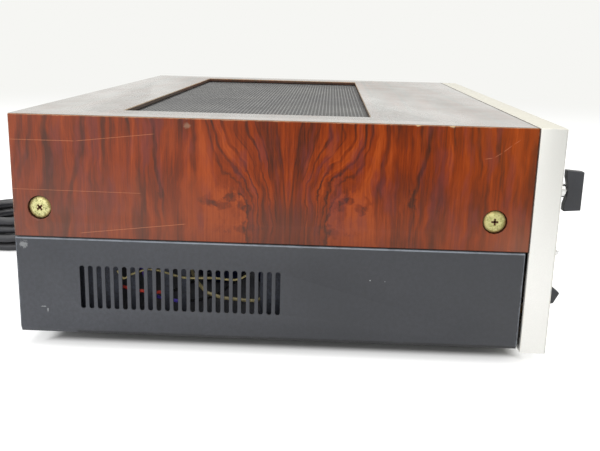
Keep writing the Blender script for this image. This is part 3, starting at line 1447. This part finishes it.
def make_speaker_terminals():
    """A barrier strip: screw terminals between upright ribs."""
    low = REAR_FACE + SEAT_GAP
    half = TERMINAL_WIDTH / 2
    tall = TERMINAL_HEIGHT / 2
    strip = box(
        "speaker_terminals",
        (TERMINAL_X - half, low, TERMINAL_Z - tall),
        (TERMINAL_X + half, low + TERMINAL_BASE, TERMINAL_Z + tall),
        "black_plastic",
    )
    pitch = (TERMINAL_WIDTH - TERMINAL_RIB) / TERMINAL_COUNT
    ribs = []
    rods = []
    for index in range(TERMINAL_COUNT + 1):
        x = TERMINAL_X - half + index * pitch
        inset = 0.0 if index in (0, TERMINAL_COUNT) else UNION_BITE
        ribs.append(
            (
                (x, low + TERMINAL_BASE - UNION_BITE, TERMINAL_Z - tall + inset),
                (x + TERMINAL_RIB, REAR_FACE + TERMINAL_DEPTH, TERMINAL_Z + tall - inset),
            )
        )
    for index in range(TERMINAL_COUNT):
        x = TERMINAL_X - half + TERMINAL_RIB / 2 + (index + 0.5) * pitch
        start = (x, low + TERMINAL_BASE - UNION_BITE, TERMINAL_Z)
        end = (x, low + TERMINAL_BASE + TERMINAL_SCREW_HEIGHT, TERMINAL_Z)
        rods.append((TERMINAL_SCREW_RADIUS, start, end))
    join(strip, boxes("terminal_rib_shapes", ribs))
    join(strip, cylinders("terminal_screw_shapes", rods, steps=SMALL_STEPS))


def make_rear_fittings():
    """The fuse holder, the earth post and the mains outlet."""
    profile = [
        (0.0, FUSE_REACH),
        (FUSE_RADIUS - FUSE_EDGE, FUSE_REACH),
        (FUSE_RADIUS, FUSE_REACH - FUSE_EDGE),
        (FUSE_RADIUS, SEAT_GAP),
        (FUSE_NECK, SEAT_GAP),
        (FUSE_NECK, -FUSE_INNER),
        (0.0, -FUSE_INNER),
    ]
    turned("fuse_holder", profile, (FUSE_X, REAR_FACE, REAR_Z), FACING_REAR, "black_plastic")
    profile = [
        (0.0, GROUND_REACH),
        (GROUND_NECK, GROUND_REACH),
        (GROUND_NECK, GROUND_REACH - GROUND_STEP),
        (GROUND_RADIUS, GROUND_REACH - GROUND_STEP),
        (GROUND_RADIUS, GROUND_STEP),
        (GROUND_RADIUS * 0.7, GROUND_STEP),
        (GROUND_RADIUS * 0.7, SEAT_GAP),
        (GROUND_NECK, SEAT_GAP),
        (GROUND_NECK, -GROUND_STEP * 2),
        (0.0, -GROUND_STEP * 2),
    ]
    turned("ground_post", profile, (GROUND_X, REAR_FACE, JACK_Z), FACING_REAR, "nickel", RIVET_STEPS)
    half = OUTLET_WIDTH / 2
    tall = OUTLET_HEIGHT / 2
    low = REAR_FACE + SEAT_GAP
    outlet = box(
        "mains_outlet",
        (OUTLET_X - half, low, REAR_Z - tall),
        (OUTLET_X + half, low + OUTLET_RIM, REAR_Z + tall),
        "brown_phenolic",
    )
    half = OUTLET_INNER_WIDTH / 2
    tall = OUTLET_INNER_HEIGHT / 2
    body = box(
        "outlet_body_shape",
        (OUTLET_X - half, REAR_FACE - OUTLET_INNER_DEPTH, REAR_Z - tall),
        (OUTLET_X + half, low + OUTLET_RIM / 2, REAR_Z + tall),
    )
    join(outlet, body)
    slots = []
    for side in (-1, 1):
        x = OUTLET_X + side * OUTLET_SLOT_PITCH / 2
        slots.append(
            (
                (x - OUTLET_SLOT_WIDTH / 2, low + OUTLET_RIM - OUTLET_SLOT_DEPTH, REAR_Z - OUTLET_SLOT_HEIGHT / 2),
                (x + OUTLET_SLOT_WIDTH / 2, low + OUTLET_RIM + CUT_OVERRUN, REAR_Z + OUTLET_SLOT_HEIGHT / 2),
            )
        )
    cut(outlet, boxes("outlet_slot_cutter", slots))


def coil_route():
    """Piled loops that spiral in and out, climbing a layer in the half turn where they reverse."""
    turns_per_layer = COIL_TURNS / COIL_LAYERS
    swing = turns_per_layer * COIL_PITCH
    outer = COIL_MEAN_RADIUS + swing / 2
    count = round(COIL_TURNS * COIL_POINTS_PER_TURN)
    route = []
    for index in range(count + 1):
        turn = COIL_TURNS * index / count
        layer = min(int(turn / turns_per_layer), COIL_LAYERS - 1)
        into = turn / turns_per_layer - layer
        inward = into if layer % 2 == 0 else 1.0 - into
        radius = outer - swing * inward
        nearest = round(turn / turns_per_layer)
        height = float(layer)
        if 0 < nearest < COIL_LAYERS:
            from_reverse = turn - nearest * turns_per_layer
            if abs(from_reverse) < 0.25:
                eased = 0.5 + 0.5 * math.sin(math.pi * from_reverse / 0.5)
                height = nearest - 1 + eased
        angle = COIL_START + 2 * math.pi * turn
        x = COIL_X + radius * math.cos(angle)
        y = COIL_Y + radius * math.sin(angle)
        route.append(Vector((x, y, CORD_LOW + height * COIL_PITCH)))
    lead = 2 * CORD_RADIUS
    start = flat_direction(route[0], route[1])
    end = flat_direction(route[-2], route[-1])
    return [route[0] - start * lead, *route, route[-1] + end * lead]


def flat_direction(first, second):
    along = second - first
    return Vector((along.x, along.y, 0.0)).normalized()


def least_self_gap(route, radius):
    """Smallest clear distance between two stretches of a tube that aren't neighbours on it."""
    window = COIL_POINTS_PER_TURN // 2
    least = math.inf
    for first in range(len(route)):
        for second in range(first + window, len(route) - 1):
            start = route[second]
            along = route[second + 1] - start
            share = max(0.0, min(1.0, (route[first] - start).dot(along) / along.length_squared))
            least = min(least, (route[first] - start - along * share).length)
    return least - 2 * radius


def run_knots(coil):
    """The free stretch from the strain relief to the coil, laid by hand."""
    heading = flat_direction(coil[0], coil[1])
    start = Vector((CORD_EXIT_X, RELIEF_END + SEAT_GAP, CORD_EXIT_Z))
    end = coil[0] - heading * SEAT_GAP
    landing = Vector((start.x, start.y, CORD_LOW))
    falling = [start + Vector(offset) for offset in RUN_OFFSETS[:-2]]
    lying = [landing + Vector(offset) for offset in RUN_OFFSETS[-2:]]
    return [*falling, *lying, end - heading * RUN_LEAD_FAR, end - heading * RUN_LEAD_NEAR, end]


def tail_knots(coil):
    """The free stretch that falls from the top of the coil to the floor and the plug."""
    heading = flat_direction(coil[-2], coil[-1])
    start = coil[-1] + heading * SEAT_GAP
    side = Vector((-heading.y, heading.x, 0.0))
    fall = CORD_LOW - start.z
    places = [*TAIL_OFFSETS, *((along, across, fall) for along, across in TAIL_FLOOR_OFFSETS)]
    return [start + heading * along + side * across + Vector((0.0, 0.0, up)) for along, across, up in places]


def make_plug(end, heading):
    """A moulded flat plug with two blades, lying on the floor at the cord's far end."""
    half = PLUG_WIDTH / 2
    neck = PLUG_NECK_WIDTH / 2
    outline = [
        (0.0, -neck),
        (PLUG_NECK_LENGTH, -neck),
        (PLUG_NECK_LENGTH + neck, -half),
        (PLUG_LENGTH + PLUG_NECK_LENGTH, -half),
        (PLUG_LENGTH + PLUG_NECK_LENGTH, half),
        (PLUG_NECK_LENGTH + neck, half),
        (PLUG_NECK_LENGTH, neck),
        (0.0, neck),
    ]
    plug = flat_solid("plug", outline, 0.0, PLUG_HEIGHT, "XY", "black_plastic")
    turn = Matrix.Rotation(math.atan2(heading.y, heading.x), 4, "Z")
    place = Matrix.Translation((end.x, end.y, SEAT_GAP)) @ turn
    plug.matrix_world = place @ plug.matrix_world
    bevel(plug, PLUG_EDGE)
    start = PLUG_LENGTH + PLUG_NECK_LENGTH
    blades = []
    for side in (-1, 1):
        y = side * BLADE_PITCH / 2
        middle = PLUG_HEIGHT / 2
        blades.append(
            (
                (start - PLUG_EDGE, y - BLADE_THICKNESS / 2, middle - BLADE_WIDTH / 2),
                (start + BLADE_LENGTH, y + BLADE_THICKNESS / 2, middle + BLADE_WIDTH / 2),
            )
        )
    shape = boxes("blade_shapes", blades)
    shape.matrix_world = place
    join(plug, shape)


def make_mains_cord():
    """Strain relief, free run, coil, free tail and plug."""
    profile = [
        (0.0, SEAT_GAP + RELIEF_LENGTH),
        (RELIEF_TIP_RADIUS, SEAT_GAP + RELIEF_LENGTH),
        (RELIEF_RADIUS, SEAT_GAP + RELIEF_FLANGE),
        (RELIEF_RADIUS + RELIEF_FLANGE / 2, SEAT_GAP + RELIEF_FLANGE),
        (RELIEF_RADIUS + RELIEF_FLANGE / 2, SEAT_GAP),
        (RELIEF_NECK, SEAT_GAP),
        (RELIEF_NECK, -RELIEF_INNER),
        (0.0, -RELIEF_INNER),
    ]
    place = (CORD_EXIT_X, REAR_FACE, CORD_EXIT_Z)
    turned("strain_relief", profile, place, FACING_REAR, "rubber")
    coil = coil_route()
    gap = least_self_gap(coil, CORD_RADIUS)
    print(f"cord coil: least gap to itself {gap * 1000:.3f} mm")
    if gap <= COIL_LEAST_GAP:
        raise ValueError("the coil's turns lie too close to each other")
    tube("cord_coil", coil, CORD_RADIUS, 1, "cord_black")
    run = smooth_route(run_knots(coil), RUN_SPACING / 2)
    tube("cord_run", run, CORD_RADIUS, 2, "cord_black")
    tail = smooth_route(tail_knots(coil), RUN_SPACING / 2)
    tube("cord_tail", tail, CORD_RADIUS, 2, "cord_black")
    heading = flat_direction(tail[-2], tail[-1])
    make_plug(tail[-1] + heading * SEAT_GAP, heading)


def make_harness():
    """Three wires that run from the transformer past the side vents to the rear fittings."""
    wall = -INNER_HALF + 2 * WIRE_RADIUS
    low = PANEL_LOW + VENT_RAISE
    start_y = TRANSFORMER_Y + BELL_DEPTH / 2 + SEAT_GAP
    start_x = TRANSFORMER_X - BELL_WIDTH / 4
    start = (start_x, start_y, low)
    fuse_end = (FUSE_X, REAR_FACE - FUSE_INNER, REAR_Z)
    outlet_end = (OUTLET_X, REAR_FACE - OUTLET_INNER_DEPTH, REAR_Z)
    routes = {
        "wire_red": (
            RED_OFFSETS,
            [start] * 3,
            [(start_x, vent_center(13), low)],
            [(wall, vent_center(index), low) for index in (10, 8, 5, 2)],
            [(FUSE_X, REAR_INNER - FUSE_INNER, REAR_Z), fuse_end],
        ),
        "wire_blue": (
            BLUE_OFFSETS,
            [start] * 3,
            [(wall, vent_center(index), low) for index in (15, 12, 10, 7)],
            [(start_x, vent_center(3), low)],
            [(OUTLET_X, REAR_INNER - OUTLET_INNER_DEPTH, REAR_Z), outlet_end],
        ),
        "wire_yellow": (
            YELLOW_OFFSETS,
            [start] * 2,
            [(wall, vent_center(index), low) for index in (21, 19, 15, 13)],
            [(start_x, vent_center(9), low), (OUTLET_X, vent_center(3), low)],
            [(OUTLET_X, REAR_INNER - OUTLET_INNER_DEPTH, REAR_Z), outlet_end],
        ),
    }
    for name, (offsets, *groups) in routes.items():
        bases = [base for group in groups for base in group]
        knots = [Vector(base) + Vector(offset) for base, offset in zip(bases, offsets)]
        tube(name, smooth_route(knots, WIRE_SPACING), WIRE_RADIUS, 1, name)


def build():
    clear_scene()
    make_collections()
    make_materials()
    make_wooden_sleeve()
    make_cabinet_screws()
    make_top_grille()
    make_bottom_cover()
    make_chassis()
    make_feet()
    make_front_panel()
    make_sub_panel()
    make_rear_panel()
    make_bar_knob("speaker_knob", SPEAKER_X)
    make_bar_knob("selector_knob", SELECTOR_X)
    make_tone_knob("bass_knob", BASS_X)
    make_tone_knob("treble_knob", TREBLE_X)
    make_volume_controls()
    make_control_board()
    for name, x in LEVER_PLACES.items():
        make_lever(name, x)
    make_switch_board()
    make_power_button()
    make_headphone_socket()
    make_transformer()
    make_filter_capacitors()
    make_heat_sinks()
    make_amplifier_board()
    make_input_jacks()
    make_speaker_terminals()
    make_rear_fittings()
    make_mains_cord()
    make_harness()


build()
